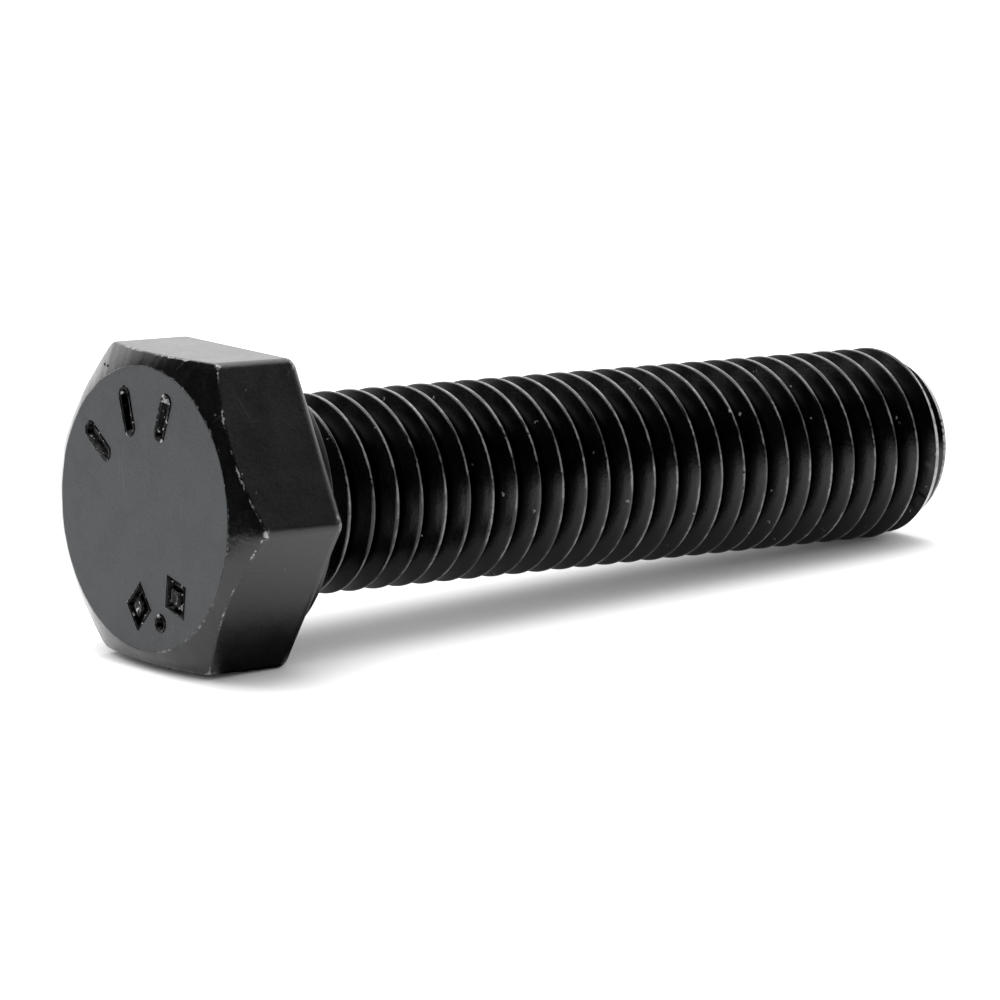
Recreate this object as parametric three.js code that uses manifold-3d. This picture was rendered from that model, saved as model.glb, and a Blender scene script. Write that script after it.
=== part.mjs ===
// A metric hex head bolt, threaded right up to the head, lying on its side.
//
// Millimetres, +Z up. The bolt's axis is X: the middle of the head's flat top is the origin, and the point
// is at the +X end. Two of the head's six flats are level, so one of them faces straight up.
// The real bolt is one piece of steel. Its two regions, the forged head and the rolled shank, are two
// meshes that meet face to face on the plane of the bearing face.

import * as THREE from "three";
import { mergeVertices } from "three/addons/utils/BufferGeometryUtils.js";
import Module from "manifold-3d";

const wasm = await Module();
wasm.setup();

// ---------------------------------------------------------------- driving dimensions

// Thread: metric coarse, right-hand, with 60 degree flanks
const NOMINAL_DIAMETER = 12;
const PITCH = 1.75;
const CREST_ALLOWANCE = 0.15; // how much smaller the crest diameter is than the nominal diameter
const FLANK_ANGLE = THREE.MathUtils.degToRad(30); // one flank, from the plane across the axis
const CREST_FLAT = PITCH / 8;
const ROOT_DEPTH = 0.6134 * PITCH; // from the nominal radius down to the root
const BLANK_DEPTH = 0.3248 * PITCH; // from the nominal radius down to the blank that the thread is rolled on
const CREST_OFFSET = 0.3; // on the +Y side, from the bearing face to where a crest would first cross it

// Shank, measured from the head's bearing face
const SHANK_LENGTH = 50;
const NECK_LENGTH = 1.0; // plain, at the diameter of the blank that the thread is rolled on
const RUNOUT_LENGTH = 1.4; // over this the thread grows from nothing to its full depth
const FILLET_RADIUS = 0.6; // between the neck and the bearing face
const POINT_LENGTH = 1.9; // chamfered end, measured along the axis
const POINT_MARGIN = 0.08; // the flat end's rim lies this far below the thread's root

// Head
const ACROSS_FLATS = 18;
const HEAD_HEIGHT = 7.5; // from the flat top to the bearing face
const WASHER_FACE_HEIGHT = 0.5; // the round bearing face stands this far proud of the hexagon
const WASHER_FACE_MARGIN = 0.6; // its rim lies this far inside the flats
const TOP_FACE_MARGIN = 0.77; // the flat top's rim lies this far inside the flats
const TOP_CHAMFER_ANGLE = THREE.MathUtils.degToRad(30); // from the flat top
const CORNER_RADIUS = 0.6; // along the six long edges
const REAR_EDGE_RADIUS = 0.45; // round the hexagon's edge on the shank side

// Sunk marks on the flat top: three dashes above, and two lozenges with a dot between them below
const MARK_DEPTH = 0.35;
const MARK_STROKE = 0.7;
const MARK_LENGTH = 2.7;
const MARK_RIM_MARGIN = 1.15; // from the outer end of a mark to the flat top's rim
const DASH_BEARING = THREE.MathUtils.degToRad(109); // the middle dash, counted from the right, facing the head
const DASH_SPACING = THREE.MathUtils.degToRad(36);
const LOZENGE_BEARING = THREE.MathUtils.degToRad(-73); // the dot, halfway between the two lozenges
const LOZENGE_SPACING = THREE.MathUtils.degToRad(19);
const LOZENGE_WIDTH = 2.2;
const LOZENGE_STROKE = 0.5;
const DOT_RADIUS = 0.42;

// Facets
const TURN_STEPS = 24; // round the axis, on every round surface of the shank
const HEAD_STEPS = 72; // round the axis, on the head
const ARC_STEPS = 4; // along a fillet
const OVERRUN = 2; // how far a cutting tool reaches past what it cuts

// ---------------------------------------------------------------- sizes that follow

const crestRadius = (NOMINAL_DIAMETER - CREST_ALLOWANCE) / 2;
const rootRadius = NOMINAL_DIAMETER / 2 - ROOT_DEPTH;
const neckRadius = NOMINAL_DIAMETER / 2 - BLANK_DEPTH;
const footRadius = neckRadius + FILLET_RADIUS; // where the fillet runs out on the bearing face
const pointRadius = rootRadius - POINT_MARGIN;
const hexagonHeight = HEAD_HEIGHT - WASHER_FACE_HEIGHT;
const topFaceRadius = ACROSS_FLATS / 2 - TOP_FACE_MARGIN;
const washerFaceRadius = ACROSS_FLATS / 2 - WASHER_FACE_MARGIN;
const cornerReach = ACROSS_FLATS / Math.sqrt(3); // from the axis to a sharp corner
const markRing = topFaceRadius - MARK_RIM_MARGIN - MARK_LENGTH / 2;

// ---------------------------------------------------------------- geometry helpers

// A closed geometry as a solid that can be cut and joined.
function solidOf(geometry) {
  const bare = geometry.clone();
  bare.deleteAttribute("normal");
  bare.deleteAttribute("uv");
  const merged = mergeVertices(bare, 1e-4);
  const corners = merged.index.array;
  const triangles = [];
  for (let i = 0; i < corners.length; i += 3) {
    const [a, b, c] = corners.slice(i, i + 3);
    if (a !== b && b !== c && c !== a) triangles.push(a, b, c); // a lathe's poles leave empty triangles
  }
  return new wasm.Manifold(
    new wasm.Mesh({
      numProp: 3,
      vertProperties: new Float32Array(merged.attributes.position.array),
      triVerts: new Uint32Array(triangles),
    }),
  );
}

// A finished solid as a named mesh.
function meshOf(name, solid, material) {
  const made = solid.getMesh();
  const geometry = new THREE.BufferGeometry();
  geometry.setAttribute("position", new THREE.BufferAttribute(made.vertProperties, 3));
  geometry.setIndex(new THREE.BufferAttribute(made.triVerts, 1));
  geometry.computeVertexNormals();
  const mesh = new THREE.Mesh(geometry, material);
  mesh.name = name;
  return mesh;
}

// A solid of revolution about X. The outline is a list of [x, radius], from low x to high x.
function turned(outline, steps) {
  const points = outline.map(([x, radius]) => new THREE.Vector2(radius, x));
  return solidOf(new THREE.LatheGeometry(points, steps).rotateZ(-Math.PI / 2));
}

// Turns what is drawn facing the head (x to the viewer's right, y up, z out of the head) into the part's frame.
const facingTheHead = new THREE.Matrix4().makeBasis(
  new THREE.Vector3(0, -1, 0),
  new THREE.Vector3(0, 0, 1),
  new THREE.Vector3(-1, 0, 0),
);

// ---------------------------------------------------------------- head

// The hexagon's outline, with two flats level and rounded corners.
function hexagonShape() {
  const shape = new THREE.Shape();
  const arcCentreReach = cornerReach - CORNER_RADIUS / Math.cos(Math.PI / 6);
  const halfArc = Math.PI / 6;
  for (let corner = 0; corner < 6; corner++) {
    const bearing = (corner * Math.PI) / 3;
    const x = arcCentreReach * Math.cos(bearing);
    const y = arcCentreReach * Math.sin(bearing);
    shape.absarc(x, y, CORNER_RADIUS, bearing - halfArc, bearing + halfArc, false);
  }
  shape.closePath();
  return shape;
}

function hexagonPrism() {
  const depth = hexagonHeight + OVERRUN - REAR_EDGE_RADIUS;
  const prism = new THREE.ExtrudeGeometry(hexagonShape(), {
    depth,
    curveSegments: ARC_STEPS,
    bevelEnabled: true,
    bevelThickness: REAR_EDGE_RADIUS,
    bevelSize: REAR_EDGE_RADIUS,
    bevelOffset: -REAR_EDGE_RADIUS,
    bevelSegments: 3,
  });
  prism.translate(0, 0, REAR_EDGE_RADIUS - hexagonHeight);
  return solidOf(prism.applyMatrix4(facingTheHead));
}

// The cone that chamfers the hexagon's corners, closed at the flat top and at the back of the hexagon.
function chamferCone() {
  const reach = cornerReach + OVERRUN;
  const coneDepth = (reach - topFaceRadius) * Math.tan(TOP_CHAMFER_ANGLE);
  return turned(
    [
      [0, 0],
      [0, topFaceRadius],
      [coneDepth, reach],
      [Math.max(hexagonHeight, coneDepth) + OVERRUN, reach],
      [Math.max(hexagonHeight, coneDepth) + OVERRUN, 0],
    ],
    HEAD_STEPS,
  );
}

// The round bearing face under the hexagon. It starts inside the hexagon, so that the two join, and its
// face is divided at the fillet's foot, so that the ring that bears on the clamped part has its own facets.
function washerFace() {
  return turned(
    [
      [hexagonHeight / 2, 0],
      [hexagonHeight / 2, washerFaceRadius],
      [HEAD_HEIGHT, washerFaceRadius],
      [HEAD_HEIGHT, footRadius],
      [HEAD_HEIGHT, 0],
    ],
    HEAD_STEPS,
  );
}

// A mark cutter: its shape is drawn about its own middle, and its y axis points away from the bolt's axis.
function markCutter(shape, bearing, ring) {
  const cutter = new THREE.ExtrudeGeometry(shape, {
    depth: MARK_DEPTH + OVERRUN,
    curveSegments: ARC_STEPS * 2,
    bevelEnabled: false,
  });
  cutter.translate(0, ring, -MARK_DEPTH);
  cutter.rotateZ(bearing - Math.PI / 2);
  return solidOf(cutter.applyMatrix4(facingTheHead));
}

// A straight stroke with round ends, standing along y.
function dashShape() {
  const radius = MARK_STROKE / 2;
  const half = MARK_LENGTH / 2 - radius;
  const shape = new THREE.Shape();
  shape.absarc(0, half, radius, 0, Math.PI, false);
  shape.absarc(0, -half, radius, Math.PI, 2 * Math.PI, false);
  shape.closePath();
  return shape;
}

// Four equal corners about the middle.
function lozengePoints(halfWidth, halfLength) {
  return [
    new THREE.Vector2(halfWidth, 0),
    new THREE.Vector2(0, halfLength),
    new THREE.Vector2(-halfWidth, 0),
    new THREE.Vector2(0, -halfLength),
  ];
}

// A lozenge drawn as a closed stroke.
function lozengeShape() {
  const halfWidth = LOZENGE_WIDTH / 2;
  const halfLength = MARK_LENGTH / 2;
  // The inner outline is the outer one, drawn smaller by the width of the stroke between them.
  const sideDistance = (halfWidth * halfLength) / Math.hypot(halfWidth, halfLength);
  const inner = 1 - LOZENGE_STROKE / sideDistance;
  const shape = new THREE.Shape(lozengePoints(halfWidth, halfLength));
  shape.holes.push(new THREE.Path(lozengePoints(halfWidth * inner, halfLength * inner)));
  return shape;
}

function dotShape() {
  return new THREE.Shape().absarc(0, 0, DOT_RADIUS, 0, 2 * Math.PI, false);
}

function markCutters() {
  const cutters = [];
  for (const step of [-1, 0, 1]) {
    cutters.push(markCutter(dashShape(), DASH_BEARING + step * DASH_SPACING, markRing));
  }
  for (const step of [-1, 1]) {
    cutters.push(markCutter(lozengeShape(), LOZENGE_BEARING + step * LOZENGE_SPACING, markRing));
  }
  const dotRing = markRing + MARK_LENGTH / 2 - DOT_RADIUS;
  cutters.push(markCutter(dotShape(), LOZENGE_BEARING, dotRing));
  return cutters;
}

function headSolid() {
  let head = hexagonPrism().intersect(chamferCone()).add(washerFace());
  for (const cutter of markCutters()) head = head.subtract(cutter);
  return head;
}

// ---------------------------------------------------------------- shank

// One pitch of the thread's outline: [x within the pitch, radius], from the middle of a root.
function threadOutline() {
  const flankRun = (crestRadius - rootRadius) * Math.tan(FLANK_ANGLE);
  const rootHalf = (PITCH - CREST_FLAT) / 2 - flankRun;
  return [
    [0, rootRadius],
    [rootHalf, rootRadius],
    [rootHalf + flankRun, crestRadius],
    [rootHalf + flankRun + CREST_FLAT, crestRadius],
    [PITCH - rootHalf, rootRadius],
  ];
}

// 0 on the plain neck, 1 where the thread has its full depth.
function threadGrowth(x) {
  return THREE.MathUtils.smoothstep(x, NECK_LENGTH, NECK_LENGTH + RUNOUT_LENGTH);
}

// A rod with the thread all along it, longer than the shank at both ends. Its outline follows the helix:
// the vertices of one turn's last row are the first row of the next turn.
function threadedRod() {
  const outline = threadOutline();
  const rows = outline.length;
  const turnsBefore = Math.ceil(OVERRUN / PITCH) + 1;
  const turns = turnsBefore + Math.ceil((SHANK_LENGTH + OVERRUN) / PITCH);
  const firstX = CREST_OFFSET - PITCH / 2 - turnsBefore * PITCH; // a crest is half a pitch past a root
  const stations = turns * TURN_STEPS;
  const positions = [];
  const triangles = [];

  for (let station = 0; station <= stations; station++) {
    const bearing = (2 * Math.PI * station) / TURN_STEPS;
    for (const [along, radius] of outline) {
      const x = firstX + (PITCH * station) / TURN_STEPS + along;
      const grown = THREE.MathUtils.lerp(neckRadius, radius, threadGrowth(x));
      positions.push(x, grown * Math.cos(bearing), grown * Math.sin(bearing));
    }
  }
  // Row rows of a station is row 0 of the station one turn on.
  const vertex = (station, row) =>
    row < rows ? station * rows + row : (station + TURN_STEPS) * rows + row - rows;

  for (let station = 0; station < stations; station++) {
    for (let row = 0; row < rows; row++) {
      if (row === rows - 1 && station + TURN_STEPS + 1 > stations) continue;
      const a = vertex(station, row);
      const b = vertex(station + 1, row);
      const c = vertex(station + 1, row + 1);
      const d = vertex(station, row + 1);
      triangles.push(a, b, c, a, c, d);
    }
  }

  // Each end is closed by a fan from a point on the axis to the last turn's edge and the outline across it.
  const startEdge = [];
  for (let station = 0; station <= TURN_STEPS; station++) startEdge.push(vertex(station, 0));
  for (let row = rows - 1; row > 0; row--) startEdge.push(vertex(0, row));
  const endEdge = [];
  const lastTurn = stations - TURN_STEPS;
  for (let station = lastTurn; station <= stations; station++) endEdge.push(vertex(station, rows - 1));
  for (let row = rows - 2; row >= 0; row--) endEdge.push(vertex(stations, row));
  fan(positions, triangles, startEdge, firstX, false);
  fan(positions, triangles, endEdge, firstX + (turns + 1) * PITCH, true);

  const geometry = new THREE.BufferGeometry();
  geometry.setAttribute("position", new THREE.Float32BufferAttribute(positions, 3));
  geometry.setIndex(triangles);
  return solidOf(geometry);
}

function fan(positions, triangles, edge, x, facesTheEnd) {
  const centre = positions.length / 3;
  positions.push(x, 0, 0);
  edge.forEach((from, i) => {
    const to = edge[(i + 1) % edge.length];
    triangles.push(...(facesTheEnd ? [centre, from, to] : [centre, to, from]));
  });
}

// What the shank may fill: cut off at the bearing face and at the end, with the point's chamfer.
function shankEnvelope() {
  const reach = crestRadius + OVERRUN;
  const chamferRun = (POINT_LENGTH * (reach - pointRadius)) / (crestRadius - pointRadius);
  return turned(
    [
      [0, 0],
      [0, reach],
      [SHANK_LENGTH - chamferRun, reach],
      [SHANK_LENGTH, pointRadius],
      [SHANK_LENGTH, 0],
    ],
    TURN_STEPS,
  );
}

// The fillet between the bearing face and the neck, with the core behind it.
function fillet() {
  const outline = [[0, 0]];
  for (let step = 0; step <= ARC_STEPS; step++) {
    const angle = (step / ARC_STEPS) * (Math.PI / 2);
    outline.push([
      FILLET_RADIUS * (1 - Math.cos(angle)),
      neckRadius + FILLET_RADIUS * (1 - Math.sin(angle)),
    ]);
  }
  outline.push([FILLET_RADIUS, 0]);
  return turned(outline, TURN_STEPS);
}

function shankSolid() {
  return threadedRod().intersect(shankEnvelope()).add(fillet());
}

// ---------------------------------------------------------------- the bolt

const blackenedSteel = new THREE.MeshStandardMaterial({
  color: new THREE.Color(0.032, 0.033, 0.035),
  roughness: 0.38,
  metalness: 0.75,
});
const wornThreadSteel = new THREE.MeshStandardMaterial({
  color: new THREE.Color(0.024, 0.025, 0.026),
  roughness: 0.42,
  metalness: 0.75,
});

const head = meshOf("hex_head", headSolid(), blackenedSteel);
const shank = meshOf("threaded_shank", shankSolid(), wornThreadSteel);
shank.position.x = HEAD_HEIGHT;

const bolt = new THREE.Group();
bolt.add(head, shank);

export default bolt;
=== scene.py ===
import math
import random

import bmesh
import bpy
from bpy.props import FloatProperty, FloatVectorProperty, IntProperty, PointerProperty
from bpy.types import Operator, Panel, PropertyGroup
from mathutils import Matrix, Vector, noise


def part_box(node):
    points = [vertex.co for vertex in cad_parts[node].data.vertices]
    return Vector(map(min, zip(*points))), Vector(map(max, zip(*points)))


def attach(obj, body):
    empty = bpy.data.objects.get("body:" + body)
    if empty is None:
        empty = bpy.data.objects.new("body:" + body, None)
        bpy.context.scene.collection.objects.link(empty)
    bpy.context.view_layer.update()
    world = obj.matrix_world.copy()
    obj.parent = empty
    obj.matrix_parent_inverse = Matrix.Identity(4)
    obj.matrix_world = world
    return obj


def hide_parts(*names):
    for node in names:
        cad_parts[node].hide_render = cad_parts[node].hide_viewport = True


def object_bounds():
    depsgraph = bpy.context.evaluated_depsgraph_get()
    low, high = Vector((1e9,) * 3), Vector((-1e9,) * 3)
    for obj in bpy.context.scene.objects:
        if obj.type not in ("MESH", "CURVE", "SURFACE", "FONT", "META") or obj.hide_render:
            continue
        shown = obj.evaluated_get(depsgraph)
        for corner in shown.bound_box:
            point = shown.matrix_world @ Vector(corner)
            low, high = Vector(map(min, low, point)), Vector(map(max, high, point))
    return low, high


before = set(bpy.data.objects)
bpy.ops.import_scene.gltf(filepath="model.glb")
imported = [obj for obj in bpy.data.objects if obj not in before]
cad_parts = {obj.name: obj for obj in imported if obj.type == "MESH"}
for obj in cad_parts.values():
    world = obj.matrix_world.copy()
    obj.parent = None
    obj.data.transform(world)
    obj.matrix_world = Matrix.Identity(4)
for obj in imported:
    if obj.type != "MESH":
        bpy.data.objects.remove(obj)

bl_info = {
    "name": "Hex bolt",
    "version": (1, 0, 0),
    "blender": (4, 5, 0),
    "location": "3D View > Sidebar > Hex bolt",
    "description": "Models a blackened hex bolt round its frame, and a small studio to show it in",
    "category": "Object",
}

MM = 0.001
CAD_LOW, CAD_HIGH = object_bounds()
HEAD_LOW, HEAD_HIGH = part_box("hex_head")
SHANK_LOW, SHANK_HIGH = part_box("threaded_shank")

ALONG_X = (0, math.pi / 2, 0)  # turns a primitive's own Z axis to the bolt's axis
HALF_CORNER = math.pi / 6  # a hexagon's corner, from the middle of the flat beside it
TOUCH = 0.001 * MM  # closer than this is the same place
SLIVER = TOUCH * 10  # faces thinner than this are merged away before edges are rounded

HEAD_STEPS = 240  # round the axis, on the head's chamfer
RIM_ROUND = 0.07 * MM  # of the flat top's rim
BEARING_EDGE_ROUND = 0.12 * MM
OFF_THE_CORNERS = 0.01  # radians: turned so far, the chamfer's edges meet none of the hexagon's
BLANK_DEPTH = 0.3248  # of the pitch: from the nominal radius to the blank that the thread is rolled on
SMOOTH_ANGLE = math.radians(35)  # edges sharper than this stay sharp
EDGE_ANGLE = math.radians(40)  # edges sharper than this are rounded

# the light and the cards, in metres
OVERHEAD_HEIGHT = 0.55
OVERHEAD_BACK = 0.1
OVERHEAD_SIZE = 0.6
SIDE_CARD_MIDDLE = (-0.035, 0.025)
SIDE_CARD_SIZE = (0.08, 0.09)
FLOOR_CARD_MIDDLE = (0.0078, -0.006)
FLOOR_CARD_SIZE = (0.0114, 0.0046)
FLOOR_CARD_LIFT = 0.0001


# ---- what a user would change


def length(name, description, millimetres):
    return FloatProperty(
        name=name, description=description, default=millimetres * MM, unit="LENGTH", subtype="DISTANCE",
        precision=5)


def angle(name, description, degrees):
    return FloatProperty(
        name=name, description=description, default=math.radians(degrees), unit="ROTATION", subtype="ANGLE")


def share(name, description, value):
    return FloatProperty(name=name, description=description, default=value, min=0, max=1, subtype="FACTOR")


def colour(name, description, value):
    return FloatVectorProperty(
        name=name, description=description, default=value, size=3, min=0, max=1, subtype="COLOR")


class BoltHeadSizes(PropertyGroup):
    across_flats: length("Across flats", "Between two opposite flats", (HEAD_HIGH.z - HEAD_LOW.z) / MM)
    height: length("Height", "From the flat top to the bearing face", (HEAD_HIGH.x - HEAD_LOW.x) / MM)
    washer_height: length("Bearing face height", "How far it stands proud of the hexagon", 0.5)
    washer_margin: length("Bearing face margin", "From its rim to the flats", 0.6)
    top_margin: length("Top margin", "From the flat top's rim to the flats", 0.77)
    chamfer_angle: angle("Chamfer angle", "Of the corners' chamfer, from the flat top", 30)
    chamfer_waver: length("Chamfer waver", "How far the chamfer wanders along the axis", 0.035)
    corner_radius: length("Corner radius", "Along the six long edges", 0.6)
    rear_radius: length("Rear edge radius", "Round the hexagon's edge on the shank side", 0.8)
    edge_round: length("Edge rounding", "Of the edges that the dies left sharp", 0.1)
    nick_size: length("Nick size", "Largest dent along the edges", 0.13)
    nick_count: IntProperty(name="Nicks", description="Dents along the head's edges", default=26, min=0)


class BoltMarkSizes(PropertyGroup):
    depth: length("Depth", "Of every mark", 0.3)
    length: length("Length", "Of a dash or a lozenge, outwards", 2.7)
    draft: length("Draft", "How far a mark's walls slope in", 0.2)
    stroke: length("Dash width", "Across a dash", 0.82)
    lozenge_width: length("Lozenge width", "Across a lozenge", 2.2)
    lozenge_stroke: length("Lozenge stroke", "Of a lozenge's outline", 0.52)
    dot_radius: length("Dot radius", "Of the dot between the lozenges", 0.42)
    rim_margin: length("Rim margin", "From a mark's outer end to the flat top's rim", 1.15)
    lip_width: length("Lip width", "Of the raised lip that the stamp threw up", 0.2)
    lip_height: length("Lip height", "Of the raised lip", 0.05)
    lip_slope: length("Lip slope", "How far the lip's outer side slopes in", 0.12)
    dash_bearing: angle("Dash bearing", "Of the middle dash, from the right, facing the head", 109)
    dash_spacing: angle("Dash spacing", "Between dashes", 36)
    lozenge_bearing: angle("Lozenge bearing", "Of the dot, halfway between the lozenges", -73)
    lozenge_spacing: angle("Lozenge spacing", "From the dot to a lozenge", 19)


class BoltThreadSizes(PropertyGroup):
    diameter: length("Nominal diameter", "Of the thread", 12)
    crest_allowance: length("Crest allowance", "How much smaller the crests are", 0.15)
    pitch: length("Pitch", "From one crest to the next", 1.75)
    crest_offset: length("Crest offset", "To where a crest first crosses the +Y side", 0.3)
    root_depth: length("Root depth", "From the nominal diameter to the bottom of the groove", 1.0735)
    crest_flat: length("Crest width", "Between the flanks, if they met it sharply", 0.21875)
    crest_round: length("Crest rounding", "Of the crest's two edges", 0.18)
    neck_length: length("Neck length", "Plain stretch under the head", 1.0)
    runout_length: length("Run-out length", "Over which the thread grows", 1.4)
    fillet_radius: length("Fillet radius", "Between the neck and the bearing face", 0.6)
    point_length: length("Point length", "Of the chamfered end", 1.9)
    point_margin: length("Point margin", "How far the end's rim lies below the root", 0.08)
    point_round: length("Point rounding", "Of the end's rim", 0.12)
    point_smooth: length("Smooth point", "Stretch of the point that the thread leaves plain", 0.45)
    point_fade: length("Thread fade", "Over which the thread fades out before it", 0.4)
    steps: IntProperty(name="Steps", description="Facets in one turn", default=96, min=12)
    nick_count: IntProperty(name="Nicks", description="Dents along the crests", default=44, min=0)
    nick_size: length("Nick size", "Largest dent along the crests", 0.16)


class BoltFinish(PropertyGroup):
    black: colour("Black", "Of the oxide where it is thick", (0.002, 0.002, 0.0022))
    grey: colour("Grey", "Of the oxide where it is thin", (0.0056, 0.0060, 0.0062))
    thread_black: colour("Thread black", "Of the thread's thicker oxide", (0.0003, 0.0003, 0.0003))
    satin: colour("Satin", "Of the flat top, where the die pressed the oxide smooth", (0.021, 0.0255, 0.030))
    steel: colour("Bare steel", "Where the oxide is worn through", (0.42, 0.42, 0.43))
    dust: colour("Dust", "Of the pale specks", (0.55, 0.54, 0.52))
    head_roughness: share("Head roughness", "Of the head's oiled oxide", 0.36)
    top_roughness: share("Flat top roughness", "Of the flat top's satin", 0.46)
    wet_roughness: share("Wet roughness", "Where oil gathers: on the chamfer and in the marks", 0.17)
    thread_roughness: share("Thread roughness", "Of the thread's oiled oxide", 0.2)
    bare_roughness: share("Bare roughness", "Where the oxide is worn through", 0.42)


class BoltStageSettings(PropertyGroup):
    azimuth: angle("Azimuth", "Of the camera, from looking along +Y", -38.45)
    elevation: angle("Elevation", "Of the camera, above the bolt's own horizon", 9.24)
    roll: angle("Roll", "Of the camera, anticlockwise", 1.86)
    distance: length("Distance", "From the camera to its aim", 392)
    lens: FloatProperty(name="Lens", description="Focal length", default=238.3, unit="CAMERA")
    aim: FloatVectorProperty(
        name="Aim", description="The middle of the view", size=3, subtype="TRANSLATION", unit="LENGTH",
        default=(23.9 * MM, -2.8 * MM, -0.87 * MM), precision=5)
    floor: colour("Floor", "Of the plain floor", (0.9, 0.9, 0.9))
    floor_size: length("Floor size", "Along one side", 6000)
    key_power: FloatProperty(
        name="Key power", description="Of the large light overhead", default=4.2, unit="POWER")
    ambient: FloatProperty(
        name="Ambient", description="Even light that fills the shadows", default=1.15, min=0)
    front_world: share("Front reflection", "What the bolt mirrors on the camera's side", 0.012)
    back_world: FloatProperty(
        name="Back reflection", description="What it mirrors behind itself", default=2.1, min=0)
    card_distance: length("Card distance", "From the flat top to the black card", 45)


class BoltSettings(PropertyGroup):
    head: PointerProperty(type=BoltHeadSizes, name="Head", description="Sizes of the head")
    marks: PointerProperty(type=BoltMarkSizes, name="Marks", description="Sizes of the sunk marks")
    thread: PointerProperty(type=BoltThreadSizes, name="Thread", description="Sizes of the thread")
    finish: PointerProperty(type=BoltFinish, name="Finish", description="Colours and sheen")
    stage: PointerProperty(type=BoltStageSettings, name="Stage", description="Camera, floor and light")


# ---- modelling by hand


def deselect():
    if bpy.context.mode != "OBJECT":
        bpy.ops.object.mode_set(mode="OBJECT")
    bpy.ops.object.select_all(action="DESELECT")


def just_added(name):
    """Names the primitive that was just added, and puts its place in its mesh."""
    bpy.ops.object.transform_apply(location=True, rotation=True, scale=True)
    piece = bpy.context.object
    piece.name = name
    piece.data.name = name
    return piece


def make_active(piece):
    deselect()
    piece.select_set(True)
    bpy.context.view_layer.objects.active = piece


def edit(piece):
    """Enters edit mode with all of the piece selected."""
    make_active(piece)
    bpy.ops.object.mode_set(mode="EDIT")
    bpy.ops.mesh.select_all(action="SELECT")


def select_faces(piece, wanted):
    """In edit mode, selects the faces whose middle and normal pass the test."""
    bpy.ops.mesh.select_mode(type="FACE")
    bpy.ops.mesh.select_all(action="DESELECT")
    mesh = bmesh.from_edit_mesh(piece.data)
    mesh.normal_update()
    for face in mesh.faces:
        if wanted(face.calc_center_median(), face.normal):
            face.select = True
    mesh.select_flush(True)
    bmesh.update_edit_mesh(piece.data)


def close_up(piece):
    """Merges doubles, points the faces outwards, and leaves edit mode."""
    bpy.ops.mesh.select_all(action="SELECT")
    bpy.ops.mesh.remove_doubles(threshold=TOUCH)
    bpy.ops.mesh.normals_make_consistent(inside=False)
    bpy.ops.object.mode_set(mode="OBJECT")
    return piece


def extrude_along(stations):
    """In edit mode, carries the selected face along X through (x, radius) stations, from its own."""
    x, radius = stations[0]
    for next_x, next_radius in stations[1:]:
        bpy.ops.mesh.extrude_region_move(TRANSFORM_OT_translate={"value": (next_x - x, 0, 0)})
        scale = next_radius / radius
        bpy.ops.transform.resize(value=(1, scale, scale), center_override=(next_x, 0, 0))
        x, radius = next_x, next_radius


def turned(name, stations, steps):
    """A closed solid of revolution about X, through (x, radius) stations, flat at both ends."""
    deselect()
    x, radius = stations[0]
    bpy.ops.mesh.primitive_circle_add(
        vertices=steps, radius=radius, fill_type="NGON", location=(x, 0, 0), rotation=ALONG_X)
    piece = just_added(name)
    edit(piece)
    extrude_along(stations)
    return close_up(piece)


def apply_modifier(piece, kind, **settings):
    """Adds a modifier to a piece, sets it up and applies it."""
    make_active(piece)
    bpy.ops.object.modifier_add(type=kind)
    modifier = piece.modifiers[-1]
    for name, value in settings.items():
        setattr(modifier, name, value)
    bpy.ops.object.modifier_apply(modifier=modifier.name)


def combine(piece, tool, operation):
    """Joins, cuts or trims a piece with a tool, and throws the tool away."""
    apply_modifier(piece, "BOOLEAN", operation=operation, solver="EXACT", object=tool)
    bpy.data.objects.remove(tool)


def triangulate(piece):
    """Splits the many-sided faces that a cut leaves, so that the next cut meets only flat ones."""
    edit(piece)
    bpy.ops.mesh.quads_convert_to_tris(ngon_method="CLIP")
    bpy.ops.object.mode_set(mode="OBJECT")


def settle(piece):
    """Merges the slivers that a cut leaves, which rounding can't take."""
    edit(piece)
    bpy.ops.mesh.remove_doubles(threshold=SLIVER)
    bpy.ops.object.mode_set(mode="OBJECT")


def keep_flat(piece, planes):
    """Marks sharp the outline of what lies in each (direction, distance) plane, so it is shaded flat."""
    edit(piece)
    bpy.ops.mesh.select_mode(type="FACE")
    bpy.ops.mesh.select_all(action="DESELECT")
    mesh = bmesh.from_edit_mesh(piece.data)
    for face in mesh.faces:
        for direction, distance in planes:
            if all(abs(vertex.co.dot(direction) - distance) < TOUCH for vertex in face.verts):
                face.select_set(True)
    bmesh.update_edit_mesh(piece.data)
    bpy.ops.mesh.region_to_loop()
    bpy.ops.mesh.mark_sharp()
    bpy.ops.object.mode_set(mode="OBJECT")


def joined(name, tools):
    """Several tools as one object, so that one cut serves for all."""
    deselect()
    for tool in tools:
        tool.select_set(True)
    bpy.context.view_layer.objects.active = tools[0]
    bpy.ops.object.join()
    tools[0].name = name
    return tools[0]


def round_edges(piece, width):
    apply_modifier(
        piece, "BEVEL", width=width, segments=3, limit_method="ANGLE", angle_limit=EDGE_ANGLE,
        miter_outer="MITER_ARC", use_clamp_overlap=False)


def arc(centre, radius, start, end, steps):
    """Points along an arc in the plane of (x, radius); angles run from +x towards a larger radius."""
    turn = (end - start) / steps
    return [
        (centre[0] + radius * math.cos(start + turn * i), centre[1] + radius * math.sin(start + turn * i))
        for i in range(steps + 1)
    ]


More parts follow.
